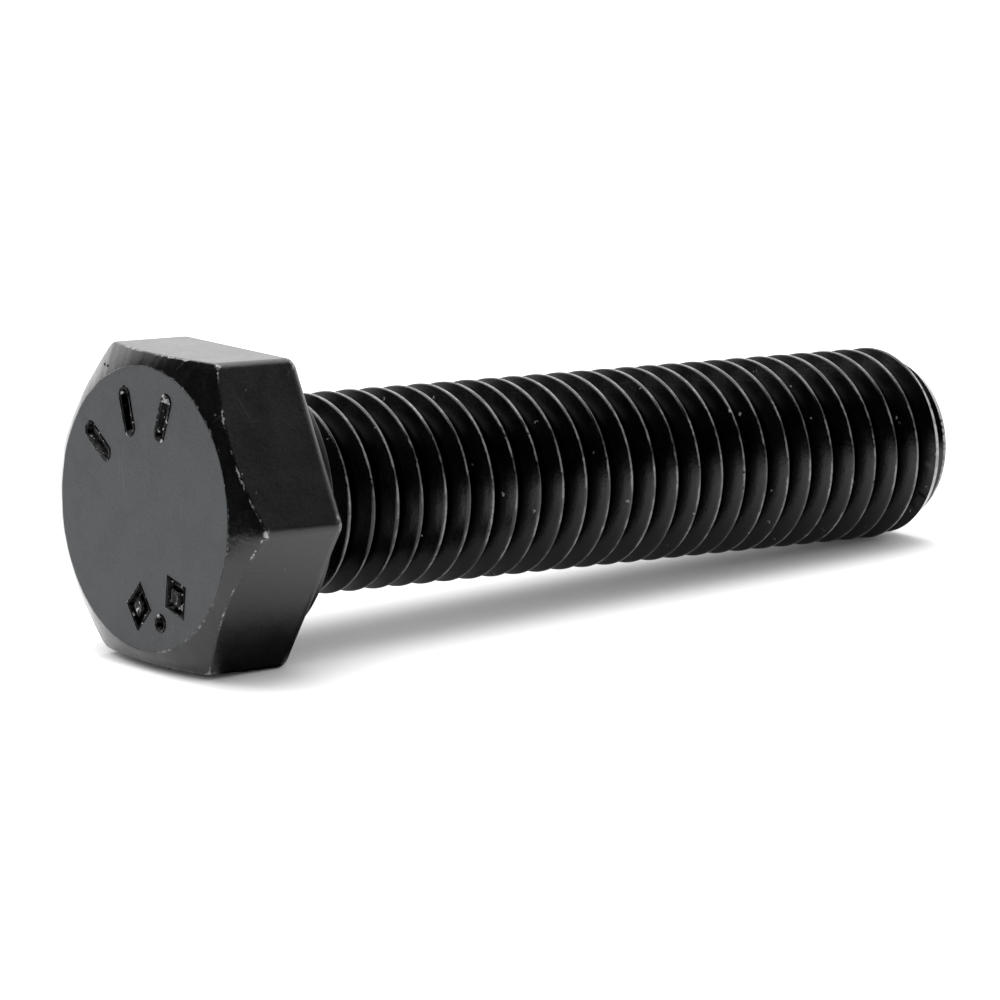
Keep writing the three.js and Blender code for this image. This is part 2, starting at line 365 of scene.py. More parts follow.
def dents(name, places, draw):
    """Small rough pebbles at places, each (point, size), clear of each other, joined as one cutter."""
    pebbles = []
    kept = []
    for point, size in places:
        if any((point - other).length < 1.4 * (size + other_size) for other, other_size in kept):
            continue
        kept.append((point, size))
        deselect()
        bpy.ops.mesh.primitive_ico_sphere_add(subdivisions=2, radius=size, location=point)
        pebble = bpy.context.object
        pebble.scale = [draw.uniform(0.7, 1.3) for _ in range(3)]
        pebble.rotation_euler = [draw.uniform(0, math.pi) for _ in range(3)]
        just_added("pebble")
        pebbles.append(pebble)
    return joined(name, pebbles)


def finish_piece(piece, node, material):
    """Gives a finished piece its finish and its place in the model."""
    make_active(piece)
    bpy.ops.object.shade_smooth_by_angle(angle=SMOOTH_ANGLE)
    apply_modifier(piece, "WEIGHTED_NORMAL", keep_sharp=True, weight=80)
    piece.data.materials.clear()
    piece.data.materials.append(material)
    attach(piece, "root")
    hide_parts(node)


# ---- head


def hexagon(sizes, front):
    """The hexagon, with its corners and its rear edge rounded."""
    rear = sizes.height - sizes.washer_height
    reach = sizes.across_flats / math.sqrt(3)
    deselect()
    bpy.ops.mesh.primitive_circle_add(
        vertices=6, radius=reach, fill_type="NGON", location=(front, 0, 0), rotation=ALONG_X)
    piece = just_added("hex_head_body")
    edit(piece)
    bpy.ops.mesh.select_mode(type="VERT")
    bpy.ops.mesh.select_all(action="SELECT")
    bpy.ops.mesh.bevel(offset=sizes.corner_radius * math.tan(HALF_CORNER), segments=10, affect="VERTICES")
    bpy.ops.mesh.select_mode(type="FACE")
    bpy.ops.mesh.select_all(action="SELECT")
    bpy.ops.mesh.extrude_region_move(
        TRANSFORM_OT_translate={"value": (rear - sizes.rear_radius - front, 0, 0)})
    centre = (rear - sizes.rear_radius, sizes.across_flats / 2 - sizes.rear_radius)
    extrude_along(arc(centre, sizes.rear_radius, math.pi / 2, 0, 8))
    return close_up(piece)


def chamfer_tool(sizes, front):
    """What the head may fill: a flat top and a slightly wavering cone behind it."""
    top_radius = sizes.across_flats / 2 - sizes.top_margin
    slope = math.tan(sizes.chamfer_angle)
    reach = sizes.across_flats / math.sqrt(3) * 1.1  # clear of the corners
    depth = (reach - top_radius) * slope
    stations = [
        (front, top_radius - RIM_ROUND * 3),
        (front, top_radius - RIM_ROUND),
        (front + RIM_ROUND * slope * 0.3, top_radius),
        (front + RIM_ROUND * slope, top_radius + RIM_ROUND),
        (front + depth, reach),
        (sizes.height * 1.5, reach),
    ]
    tool = turned("chamfer_tool", stations, HEAD_STEPS)
    make_active(tool)
    tool.rotation_euler = (OFF_THE_CORNERS, 0, 0)
    bpy.ops.object.transform_apply(location=False, rotation=True, scale=False)
    for vertex in tool.data.vertices:
        out = Vector((0, vertex.co.y, vertex.co.z))
        if vertex.co.x < front + TOUCH or vertex.co.x > front + depth + TOUCH:
            continue
        # a broad waver, with a little of a fine one
        waver = noise.noise(out.normalized() * 5) + 0.3 * noise.noise(out.normalized() * 23)
        vertex.co.x += max(waver, -0.6) * sizes.chamfer_waver
    return tool


def bearing_face(sizes):
    radius = sizes.across_flats / 2 - sizes.washer_margin
    edge = BEARING_EDGE_ROUND
    stations = [
        (sizes.height / 2, radius),
        (sizes.height - edge, radius),
        (sizes.height - edge * 0.3, radius - edge * 0.3),
        (sizes.height, radius - edge),
    ]
    return turned("bearing_face", stations, HEAD_STEPS // 2)


def turn_to(piece, bearing):
    """Turns what stands upright on the head to its bearing from the right, facing the head."""
    make_active(piece)
    piece.rotation_euler = (math.pi / 2 - bearing, 0, 0)
    bpy.ops.object.transform_apply(location=False, rotation=True, scale=False)
    return piece


def mark_plate(name, sides, half_width, half_length, ring, depths, draft, hollow=0.0, straight=0.0):
    """A plate on the head, upright on the ring: a circle or polygon of so many sides, drawn apart by straight
    into a dash, or hollow with a wall that wide. It is straight from the first to the second of its three
    depths, and from there to the third its walls slope in by the draft."""
    start, shoulder, stop = depths
    deselect()
    bpy.ops.mesh.primitive_circle_add(vertices=sides, radius=1, fill_type="NGON", rotation=ALONG_X)
    piece = just_added(name)
    edit(piece)
    bpy.ops.transform.resize(value=(1, half_width, half_length), center_override=(0, 0, 0))
    if straight:
        bpy.ops.mesh.select_mode(type="VERT")
        mesh = bmesh.from_edit_mesh(piece.data)
        for vertex in mesh.verts:
            vertex.co.z += math.copysign(straight, vertex.co.z) if abs(vertex.co.z) > TOUCH else straight
        bmesh.update_edit_mesh(piece.data)
        bpy.ops.mesh.select_mode(type="FACE")
        bpy.ops.mesh.select_all(action="SELECT")
    if hollow:
        bpy.ops.mesh.inset(thickness=hollow, depth=0)
        bpy.ops.mesh.delete(type="FACE")
        bpy.ops.mesh.select_all(action="SELECT")
    bpy.ops.transform.translate(value=(start, 0, ring))
    bpy.ops.mesh.extrude_region_move(TRANSFORM_OT_translate={"value": (shoulder - start, 0, 0)})
    bpy.ops.mesh.inset(thickness=draft, depth=0)
    bpy.ops.transform.translate(value=(stop - shoulder, 0, 0))
    return close_up(piece)


def mark_shapes(sizes, marks, start, shoulder, stop, draft, grow=0.0):
    """The six marks as solids, or grown sideways into the lips round them."""
    depths = (start, shoulder, stop)
    ring = sizes.across_flats / 2 - sizes.top_margin - marks.rim_margin - marks.length / 2
    half_stroke = marks.stroke / 2
    shapes = []
    for step in (-1, 0, 1):
        dash = mark_plate(
            "dash", 24, half_stroke + grow, half_stroke + grow, ring, depths, draft,
            straight=marks.length / 2 - half_stroke)
        shapes.append(turn_to(dash, marks.dash_bearing + step * marks.dash_spacing))
    for step in (-1, 1):
        lozenge = mark_plate(
            "lozenge", 4, marks.lozenge_width / 2 + grow, marks.length / 2 + grow, ring, depths, draft,
            hollow=0 if grow else marks.lozenge_stroke)
        shapes.append(turn_to(lozenge, marks.lozenge_bearing + step * marks.lozenge_spacing))
    dot_ring = ring + marks.length / 2 - marks.dot_radius
    dot = mark_plate("dot", 20, marks.dot_radius + grow, marks.dot_radius + grow, dot_ring, depths, draft)
    shapes.append(turn_to(dot, marks.lozenge_bearing))
    return shapes


def head_dents(sizes, draw):
    """Places at both ends of the six long edges, and along the chamfer's edge and the long edges."""
    places = []
    half_flat = sizes.across_flats / 2
    corner = half_flat / math.cos(HALF_CORNER) - sizes.corner_radius * (1 / math.cos(HALF_CORNER) - 1)
    top_radius = half_flat - sizes.top_margin
    rear = sizes.height - sizes.washer_height
    slope = math.tan(sizes.chamfer_angle)

    def put(x, radius, bearing, size):
        places.append((Vector((x, radius * math.cos(bearing), radius * math.sin(bearing))), size))

    for side in range(6):
        bearing = side * 2 * HALF_CORNER
        size = draw.uniform(0.5, 1) * sizes.nick_size
        put((corner - top_radius) * slope, corner + size * 0.7, bearing + draw.uniform(-0.02, 0.02), size)
        size = draw.uniform(0.5, 1.1) * sizes.nick_size
        put(rear - sizes.rear_radius * 0.8, corner + size * 0.5, bearing + draw.uniform(-0.03, 0.03), size)
    for _ in range(sizes.nick_count):
        size = sizes.nick_size * draw.uniform(0.3, 0.8)
        bearing = draw.uniform(0, 2 * math.pi)
        from_flat = (bearing + HALF_CORNER) % (2 * HALF_CORNER) - HALF_CORNER
        side = half_flat / math.cos(from_flat)
        if draw.random() < 0.35:
            bearing = round(bearing / (2 * HALF_CORNER)) * 2 * HALF_CORNER
            put(draw.uniform(0.25, 0.9) * rear, corner + size * 0.75, bearing, size)
        else:
            put((side - top_radius) * slope - size * 0.55, side + size * 0.55, bearing, size)
    return places


class BOLT_OT_head(Operator):
    """Models the hexagon head, its bearing face and its sunk marks"""
    bl_idname = "bolt.head"
    bl_label = "Head"

    def execute(self, context):
        sizes = context.scene.bolt.head
        marks = context.scene.bolt.marks
        front = marks.lip_height
        draw = random.Random(12)

        piece = hexagon(sizes, front / 2)
        combine(piece, chamfer_tool(sizes, front), "INTERSECT")
        settle(piece)
        round_edges(piece, sizes.edge_round)
        combine(piece, bearing_face(sizes), "UNION")
        lips = mark_shapes(
            sizes, marks, marks.depth / 2, front * 1.2, 0, marks.lip_slope, grow=marks.lip_width)
        combine(piece, joined("lips", lips), "UNION")
        stamp = mark_shapes(sizes, marks, -MM, 0, marks.depth, marks.draft)
        combine(piece, joined("stamp", stamp), "DIFFERENCE")
        triangulate(piece)
        combine(piece, dents("head_dents", head_dents(sizes, draw), draw), "DIFFERENCE")
        planes = [(Vector((1, 0, 0)), front), (Vector((1, 0, 0)), 0)]
        for side in range(6):
            bearing = HALF_CORNER * (1 + 2 * side)
            planes.append((Vector((0, math.cos(bearing), math.sin(bearing))), sizes.across_flats / 2))
        keep_flat(piece, planes)
        finish_piece(piece, "hex_head", head_material(context.scene.bolt))
        return {"FINISHED"}


# ---- shank


def thread_outline(sizes):
    """One pitch of the thread as (x, radius), from the middle of a root to the middle of the next."""
    crest = (sizes.diameter - sizes.crest_allowance) / 2
    root = sizes.diameter / 2 - sizes.root_depth
    flank_run = (crest - root) * math.tan(HALF_CORNER)
    root_half = (sizes.pitch - sizes.crest_flat) / 2 - flank_run
    # the root is one arc that touches both flanks
    root_round = root_half / math.tan(HALF_CORNER)
    third = math.pi / 3
    left_root = arc((0, root + root_round), root_round, -math.pi / 2, -math.pi / 2 + third, 5)
    # the crest's corner is an arc that touches the flank and the crest
    corner_x = root_half + flank_run + sizes.crest_round * math.tan(HALF_CORNER)
    corner = (corner_x, crest - sizes.crest_round)
    left_crest = arc(corner, sizes.crest_round, math.pi / 2 + third, math.pi / 2, 6)
    half = left_root + left_crest
    return half + [(sizes.pitch - x, radius) for x, radius in reversed(half)]


def threaded_bar(sizes, bearing_x, end_x):
    """The thread, growing out of the neck, with the fillet at its foot, cut off square past the point."""
    neck = sizes.diameter / 2 - BLANK_DEPTH * sizes.pitch
    turns_before = 3
    start_x = bearing_x + sizes.crest_offset - sizes.pitch / 2 - turns_before * sizes.pitch
    turns = turns_before + math.ceil((end_x - bearing_x) / sizes.pitch) + 3
    outline = thread_outline(sizes)
    deselect()
    bpy.ops.mesh.primitive_plane_add(size=MM)
    piece = just_added("threaded_shank_body")
    edit(piece)
    bpy.ops.mesh.select_mode(type="VERT")
    bpy.ops.mesh.select_all(action="SELECT")
    bpy.ops.mesh.merge(type="CENTER")
    bpy.ops.transform.translate(value=(start_x + outline[0][0], outline[0][1], 0))
    for (x, radius), (next_x, next_radius) in zip(outline, outline[1:]):
        bpy.ops.mesh.extrude_vertices_move(
            TRANSFORM_OT_translate={"value": (next_x - x, next_radius - radius, 0)})
    bpy.ops.object.mode_set(mode="OBJECT")

    apply_modifier(
        piece, "SCREW", axis="X", angle=2 * math.pi, screw_offset=sizes.pitch, iterations=turns,
        steps=sizes.steps, render_steps=sizes.steps, use_smooth_shade=False)

    # near the head every point draws in to the neck, and the thread grows out of it;
    # at the other end the groove fills up, until the point's cone is plain
    neck_x = bearing_x + sizes.neck_length
    plain_x = end_x - sizes.point_smooth
    slope, rim = point_cone(sizes)
    for vertex in piece.data.vertices:
        radius = math.hypot(vertex.co.y, vertex.co.z)
        grown = min(max((vertex.co.x - neck_x) / sizes.runout_length, 0), 1)
        wanted = neck + (radius - neck) * grown
        filled = min(max(1 - (plain_x - vertex.co.x) / sizes.point_fade, 0), 1)
        cone = rim + (end_x - vertex.co.x) * slope + TOUCH * 20
        if cone > wanted:
            wanted += (cone - wanted) * filled
        scale = wanted / radius
        vertex.co.y *= scale
        vertex.co.z *= scale

    edit(piece)
    bpy.ops.mesh.remove_doubles(threshold=TOUCH)
    fillet = arc(
        (bearing_x + sizes.fillet_radius, neck + sizes.fillet_radius), sizes.fillet_radius, math.pi * 1.5,
        math.pi, 8)
    fillet_x = fillet[0][0]
    for x, out in ((fillet_x, -1), (end_x + sizes.pitch, 1)):
        bpy.ops.mesh.select_all(action="SELECT")
        bpy.ops.mesh.bisect(
            plane_co=(x, 0, 0), plane_no=(out, 0, 0), use_fill=True, clear_outer=True, threshold=TOUCH / 10)
    select_faces(piece, lambda middle, normal: middle.x < fillet_x + TOUCH and abs(normal.x) > 0.9)
    extrude_along(fillet)
    return close_up(piece)


def point_cone(sizes):
    """The slope of the point's chamfer, and the radius of its rim."""
    crest = (sizes.diameter - sizes.crest_allowance) / 2
    rim = sizes.diameter / 2 - sizes.root_depth - sizes.point_margin
    return (crest - rim) / sizes.point_length, rim


def point_tool(sizes, bearing_x, end_x):
    """What the shank may fill: a bar with a chamfered point."""
    slope, rim = point_cone(sizes)
    clear = sizes.diameter / 2 + MM
    # the end's rim is an arc that touches the flat end and the chamfer
    chamfer_angle = math.atan(slope)
    tangent = sizes.point_round * math.tan((math.pi / 2 - chamfer_angle) / 2)
    centre = (end_x - sizes.point_round, rim - tangent)
    rim_arc = arc(centre, sizes.point_round, math.pi / 2 - chamfer_angle, 0, 4)
    return turned(
        "point_tool", [(bearing_x - MM, clear), (end_x - (clear - rim) / slope, clear)] + rim_arc,
        sizes.steps * 2)


def crest_dents(sizes, bearing_x, end_x, draw):
    crest = (sizes.diameter - sizes.crest_allowance) / 2
    places = []
    for _ in range(sizes.nick_count):
        size = sizes.nick_size * draw.uniform(0.4, 1)
        bearing = draw.uniform(0, 2 * math.pi)
        turns = int((end_x - bearing_x - 6 * MM) / sizes.pitch)
        along = draw.randint(2, turns) + bearing / (2 * math.pi)
        x = bearing_x + sizes.crest_offset + along * sizes.pitch + draw.uniform(-0.1, 0.1) * MM
        radius = crest + size * draw.uniform(0.35, 0.7)
        places.append((Vector((x, radius * math.cos(bearing), radius * math.sin(bearing))), size))
    return places


class BOLT_OT_shank(Operator):
    """Models the thread, the neck with its fillet, and the chamfered point"""
    bl_idname = "bolt.shank"
    bl_label = "Shank"

    def execute(self, context):
        sizes = context.scene.bolt.thread
        bearing_x, end_x = SHANK_LOW.x, SHANK_HIGH.x
        draw = random.Random(31)

        piece = threaded_bar(sizes, bearing_x, end_x)
        combine(piece, point_tool(sizes, bearing_x, end_x), "INTERSECT")
        triangulate(piece)
        places = crest_dents(sizes, bearing_x, end_x, draw)
        combine(piece, dents("crest_dents", places, draw), "DIFFERENCE")
        finish_piece(piece, "threaded_shank", thread_material(context.scene.bolt))
        return {"FINISHED"}


# ---- finishes


def feed(tree, socket, value):
    """Gives a socket a value, or a link from another socket."""
    if isinstance(value, bpy.types.NodeSocket):
        tree.links.new(value, socket)
    else:
        socket.default_value = value


def add(tree, kind, inputs=None, **settings):
    """Adds a node, with its settings and its inputs, each a value or a socket to link from."""
    made = tree.nodes.new(kind)
    for name, value in settings.items():
        setattr(made, name, value)
    for name, value in (inputs or {}).items():
        feed(tree, made.inputs[name], value)
    return made


def calc(tree, operation, *values):
    return add(tree, "ShaderNodeMath", dict(enumerate(values)), operation=operation).outputs[0]


def times(tree, first, second):
    return calc(tree, "MULTIPLY", first, second)


def minus(tree, first, second):
    return calc(tree, "SUBTRACT", first, second)


def larger(tree, first, second):
    return calc(tree, "MAXIMUM", first, second)


def from_axis(tree, parts):
    """The distance from the bolt's axis."""
    squares = [times(tree, parts[name], parts[name]) for name in ("Y", "Z")]
    return calc(tree, "SQRT", calc(tree, "ADD", *squares))


def ramp(tree, value, low, high, to_low=0.0, to_high=1.0):
    """A smooth step from to_low to to_high as the value goes from low to high."""
    return add(
        tree, "ShaderNodeMapRange", {"Value": value, "From Min": low, "From Max": high, "To Min": to_low,
        "To Max": to_high}, interpolation_type="SMOOTHSTEP").outputs["Result"]


def blend(tree, share_of_second, first, second):
    mix = add(tree, "ShaderNodeMix", data_type="RGBA")
    # a colour mix's own sockets are these among the node's many
    for index, value in ((0, share_of_second), (6, first), (7, second)):
        feed(tree, mix.inputs[index], value)
    return mix.outputs[2]


def rgba(value):
    return (*value, 1)


# what a node group's socket carries, where it isn't one number
SOCKET_KINDS = {"Position": "Vector", "Turn": "Vector", "Black": "Color", "Grey": "Color", "Color": "Color"}


def group(name, inputs, outputs):
    """An empty node group with named sockets; returns it with its two end nodes."""
    tree = bpy.data.node_groups.new(name, "ShaderNodeTree")
    for in_out, sockets in (("INPUT", inputs), ("OUTPUT", outputs)):
        for socket in sockets:
            kind = SOCKET_KINDS.get(socket, "Float")
            tree.interface.new_socket(socket, in_out=in_out, socket_type="NodeSocket" + kind)
    return tree, add(tree, "NodeGroupInput").outputs, add(tree, "NodeGroupOutput").inputs


def place(tree, made, inputs):
    """Puts a node group in a tree."""
    node = tree.nodes.new("ShaderNodeGroup")
    node.node_tree = made
    for name, value in inputs.items():
        feed(tree, node.inputs[name], value)
    return node.outputs


def vector_calc(tree, operation, first, second):
    return add(tree, "ShaderNodeVectorMath", {0: first, 1: second}, operation=operation).outputs


def in_millimetres(tree, vector):
    return vector_calc(tree, "MULTIPLY", vector, (1 / MM,) * 3)[0]


def noise_of(tree, vector, scale, detail=3.0, roughness=0.55, distortion=0.0):
    return add(
        tree, "ShaderNodeTexNoise", {"Vector": vector, "Scale": scale, "Detail": detail,
        "Roughness": roughness, "Distortion": distortion}).outputs["Fac"]


def oxide_group():
    """Blackened steel: a thin, slightly blotchy oxide with a fine grain."""
    tree, given, result = group(
        "Blackened oxide", ["Position", "Black", "Grey", "Roughness", "Greyness", "Blotches"],
        ["Color", "Roughness", "Height"])
    blotch = noise_of(tree, given["Position"], 0.45, 4, 0.6, 0.4)
    grain = noise_of(tree, given["Position"], 5.5, 5, 0.65)
    uneven = calc(
        tree, "ADD", ramp(tree, blotch, 0.3, 0.7, -0.5, 0.5), ramp(tree, grain, 0.3, 0.7, -0.4, 0.4))
    thin = calc(tree, "MULTIPLY_ADD", uneven, given["Blotches"], given["Greyness"])
    tree.links.new(
        blend(tree, calc(tree, "MINIMUM", larger(tree, thin, 0), 1), given["Black"], given["Grey"]),
        result["Color"])
    rough = calc(tree, "MULTIPLY_ADD", grain, 0.16, minus(tree, given["Roughness"], 0.08))
    rough = calc(tree, "MULTIPLY_ADD", blotch, 0.12, minus(tree, rough, 0.06))
    tree.links.new(rough, result["Roughness"])
    tree.links.new(calc(tree, "MULTIPLY_ADD", blotch, 0.35, times(tree, grain, 0.5)), result["Height"])
    return tree


def wear_group():
    """How far the oxide is worn through, from the distance to the nearest edge, in millimetres."""
    tree, given, result = group("Edge wear", ["Position", "Distance", "Width", "Amount"], ["Mask"])
    broad = noise_of(tree, given["Position"], 0.55, 3, 0.6)
    fine = noise_of(tree, given["Position"], 3.2, 5, 0.75)
    reach = times(
        tree, given["Width"], times(tree, ramp(tree, broad, 0.34, 0.6, 0.45, 1.3),
        ramp(tree, fine, 0.3, 0.68, 0.15, 1.9)))
    near = minus(tree, 1, ramp(tree, calc(tree, "DIVIDE", given["Distance"], reach), 0.3, 1))
    strength = times(tree, given["Amount"], ramp(tree, broad, 0.4, 0.62, 0.12, 1))
    tree.links.new(times(tree, near, strength), result["Mask"])
    return tree


def speck_group():
    """A few pale specks of dust and lint."""
    tree, given, result = group("Specks", ["Position", "Scale", "Size", "Share"], ["Mask"])
    ragged = add(tree, "ShaderNodeTexNoise", {"Vector": given["Position"], "Scale": 6.0, "Detail": 2.0})
    ragged = vector_calc(tree, "MULTIPLY", ragged.outputs["Color"], (0.42,) * 3)[0]
    moved = vector_calc(tree, "ADD", given["Position"], ragged)[0]
    cells = add(tree, "ShaderNodeTexVoronoi", {"Vector": moved, "Scale": given["Scale"]})
    picked = add(tree, "ShaderNodeSeparateColor", {"Color": cells.outputs["Color"]}).outputs["Red"]
    shown = calc(tree, "LESS_THAN", picked, given["Share"])
    inside = minus(
        tree, 1, ramp(tree, calc(tree, "DIVIDE", cells.outputs["Distance"], given["Size"]), 0.55, 1))
    tree.links.new(times(tree, shown, inside), result["Mask"])
    return tree


def scratch_group():
    """Short fine scratches, all roughly one way; the mapping is stretched across them."""
    tree, given, result = group("Scratches", ["Position", "Turn", "Amount"], ["Mask"])
    turned_by = add(
        tree, "ShaderNodeVectorRotate", {"Vector": given["Position"], "Rotation": given["Turn"]},
        rotation_type="EULER_XYZ").outputs[0]
    stretched = vector_calc(tree, "MULTIPLY", turned_by, (0.25, 9, 0.25))[0]
    lines = noise_of(tree, stretched, 0.9, 2, 0.5)
    tree.links.new(times(tree, ramp(tree, lines, 0.66, 0.72), given["Amount"]), result["Mask"])
    return tree


def head_edge_group(sizes, marks):
    """Distances in millimetres to the head's edges: the flat top's rim, the chamfer's edge, the corners and
    the rear edge. Near an edge, the distance to it is the larger of the distances to its two surfaces."""
    tree, given, result = group(
        "Head edges", ["Position"], ["Rim", "Chamfer", "Corner", "Rear", "On Chamfer", "On Top", "On Mark"])
    parts = add(tree, "ShaderNodeSeparateXYZ", {"Vector": given["Position"]}).outputs
    half_flat = sizes.across_flats / 2 / MM
    rear_x = (sizes.height - sizes.washer_height) / MM
    top_radius = half_flat - sizes.top_margin / MM
    front = marks.lip_height / MM
    along_y = times(tree, parts["Y"], math.cos(HALF_CORNER))
    along_z = times(tree, parts["Z"], math.sin(HALF_CORNER))
    sides = [minus(tree, half_flat, calc(tree, "ABSOLUTE", across)) for across in (
        parts["Z"], calc(tree, "ADD", along_y, along_z), minus(tree, along_y, along_z))]
    low = calc(tree, "MINIMUM", sides[0], sides[1])
    high = larger(tree, sides[0], sides[1])
    nearest = calc(tree, "MINIMUM", low, sides[2])
    second = larger(tree, low, calc(tree, "MINIMUM", high, sides[2]))
    radius = from_axis(tree, parts)
    cone = minus(
        tree, times(tree, parts["X"], math.cos(sizes.chamfer_angle)),
        times(tree, minus(tree, radius, top_radius), math.sin(sizes.chamfer_angle)))
    cone = calc(tree, "ABSOLUTE", cone)
    top = calc(tree, "ABSOLUTE", minus(tree, parts["X"], front))
    behind = calc(tree, "ABSOLUTE", minus(tree, rear_x, parts["X"]))
    outside = ramp(tree, radius, top_radius - 0.03, top_radius + 0.03)
    on_chamfer = times(tree, outside, ramp(tree, cone, 0.05, 0.16, 1, 0))
    on_top = times(tree, minus(tree, 1, outside), ramp(tree, top, 0.006, 0.02, 1, 0))
    sunk = times(tree, ramp(tree, top, 0.006, 0.02), calc(tree, "LESS_THAN", parts["X"], 1))
    on_mark = times(tree, minus(tree, 1, outside), sunk)
    for name, value in (
            ("Rim", larger(tree, top, cone)), ("Chamfer", larger(tree, cone, nearest)), ("Corner", second),
            ("Rear", larger(tree, nearest, behind)), ("On Chamfer", on_chamfer), ("On Top", on_top),
            ("On Mark", on_mark)):
        tree.links.new(value, result[name])
    return tree


def new_material(name):
    material = bpy.data.materials.new(name)
    material.use_nodes = True
    tree = material.node_tree
    tree.nodes.clear()
    surface = add(tree, "ShaderNodeBsdfPrincipled")
    output = add(tree, "ShaderNodeOutputMaterial")
    tree.links.new(surface.outputs["BSDF"], output.inputs["Surface"])
    position = in_millimetres(tree, add(tree, "ShaderNodeTexCoord").outputs["Object"])
    return material, tree, surface, position


def shared(tree, name, make, inputs):
    """Puts a group in a tree by its name, and builds it if no material has used it yet."""
    return place(tree, bpy.data.node_groups.get(name) or make(), inputs)


def join_surface(tree, surface, finish, oxide, painted_shade, worn, dust, height, bump_strength, bump_distance):
    """Feeds a surface from its oxide, its wear, its dust, and its painted shade: how far hollows are painted
    black, standing in for the shade in them.
    """
    # painted shade: where the shade mask lies and no wear shows, the colour goes to black
    dark = times(tree, painted_shade, minus(tree, 1, worn))
    tint = blend(tree, dark, oxide["Color"], (0, 0, 0, 1))
    tint = blend(tree, worn, tint, rgba(finish.steel))
    tint = blend(tree, dust, tint, rgba(finish.dust))
    tree.links.new(tint, surface.inputs["Base Color"])
    bare = times(tree, worn, minus(tree, 1, dust))
    # a metal's mirror takes the base colour, so a black one is nearly dark; the painted shade is such black
    # metal, which mirrors almost nothing
    tree.links.new(larger(tree, times(tree, bare, 0.85), dark), surface.inputs["Metallic"])
    rough = add(tree, "ShaderNodeMix", {0: bare}, data_type="FLOAT")
    tree.links.new(oxide["Roughness"], rough.inputs[2])
    rough.inputs[3].default_value = finish.bare_roughness
    tree.links.new(larger(tree, rough.outputs[0], times(tree, dust, 0.9)), surface.inputs["Roughness"])
    bump = add(
        tree, "ShaderNodeBump", {"Strength": bump_strength, "Distance": bump_distance, "Height": height})
    tree.links.new(bump.outputs["Normal"], surface.inputs["Normal"])


def head_material(settings):
    finish = settings.finish
    material, tree, surface, position = new_material("blackened_head")
    edges = place(tree, head_edge_group(settings.head, settings.marks), {"Position": position})
    # the zones' borders wander a little, as the oil does
    wander = noise_of(tree, position, 1.6, 3, 0.6)
    wet = times(tree, edges["On Chamfer"], ramp(tree, wander, 0.25, 0.5, 0.6, 1))
    wet = larger(tree, wet, edges["On Mark"])
    # moved, so that the pits aren't where the dust is
    shifted = vector_calc(tree, "ADD", position, (3.1, 7.7, 1.3))[0]
    pits = shared(tree, "Specks", speck_group, {
        "Position": shifted, "Scale": 0.9, "Size": 0.07, "Share": 0.4})["Mask"]
    unpitted = calc(tree, "MULTIPLY_ADD", pits, -0.8, 1)
    grey = blend(tree, times(tree, edges["On Top"], unpitted), rgba(finish.grey), rgba(finish.satin))
    rough = add(
        tree, "ShaderNodeMix", {0: edges["On Top"], 2: finish.head_roughness, 3: finish.top_roughness})
    rough = add(tree, "ShaderNodeMix", {0: wet, 2: rough.outputs[0], 3: finish.wet_roughness})
    greyness = calc(tree, "MULTIPLY_ADD", wet, -0.5, 0.55)
    oxide = shared(tree, "Blackened oxide", oxide_group, {
        "Position": position, "Black": rgba(finish.black), "Grey": grey, "Roughness": rough.outputs[0],
        "Greyness": calc(tree, "MULTIPLY_ADD", edges["On Top"], 0.25, greyness), "Blotches": 0.5})
    worn = 0.0
    ends = larger(tree, edges["Chamfer"], edges["Corner"])
    rear_ends = larger(tree, edges["Rear"], edges["Corner"])
    for distance, width, amount in (
            (edges["Chamfer"], 0.07, 0.75), (edges["Corner"], 0.05, 0.2), (ends, 0.24, 1),
            (edges["Rim"], 0.035, 0.35), (edges["Rear"], 0.1, 0.15), (rear_ends, 0.5, 0.6)):
        mask = shared(tree, "Edge wear", wear_group, {
            "Position": position, "Distance": distance, "Width": width, "Amount": amount})["Mask"]
        worn = larger(tree, worn, mask)
    scratches = shared(tree, "Scratches", scratch_group, {
        "Position": position, "Turn": (0.4, 0.2, 0.9), "Amount": 0.02})["Mask"]
    worn = larger(tree, worn, scratches)
    flecks = ramp(tree, noise_of(tree, position, 2.1, 2, 0.5), 0.62, 0.67, 0, 0.65)
    worn = larger(tree, worn, times(tree, flecks, edges["On Mark"]))
    dust = shared(tree, "Specks", speck_group, {
        "Position": position, "Scale": 1.1, "Size": 0.07, "Share": 0.25})["Mask"]
    # the stamped marks and the forged chamfer are rough enough to glint
    rough_forging = calc(tree, "MULTIPLY_ADD", edges["On Chamfer"], 0.4, times(tree, edges["On Mark"], 3.5))
    forged = times(tree, noise_of(tree, position, 1.5, 2, 0.45), rough_forging)
    smooth = calc(tree, "MULTIPLY_ADD", edges["On Chamfer"], -0.7, 1)
    grain = times(tree, oxide["Height"], smooth)
    height = minus(tree, calc(tree, "ADD", grain, forged), times(tree, worn, 0.4))
    height = calc(tree, "MULTIPLY_ADD", pits, -1.5, height)
    # painted shade: the stamped marks' hollows are painted nearly black, standing in for the shade inside
    # them
    painted_shade = times(tree, edges["On Mark"], 0.85)
    join_surface(tree, surface, finish, oxide, painted_shade, worn, times(tree, dust, 0.3), height, 0.7, 0.05 * MM)
    return material


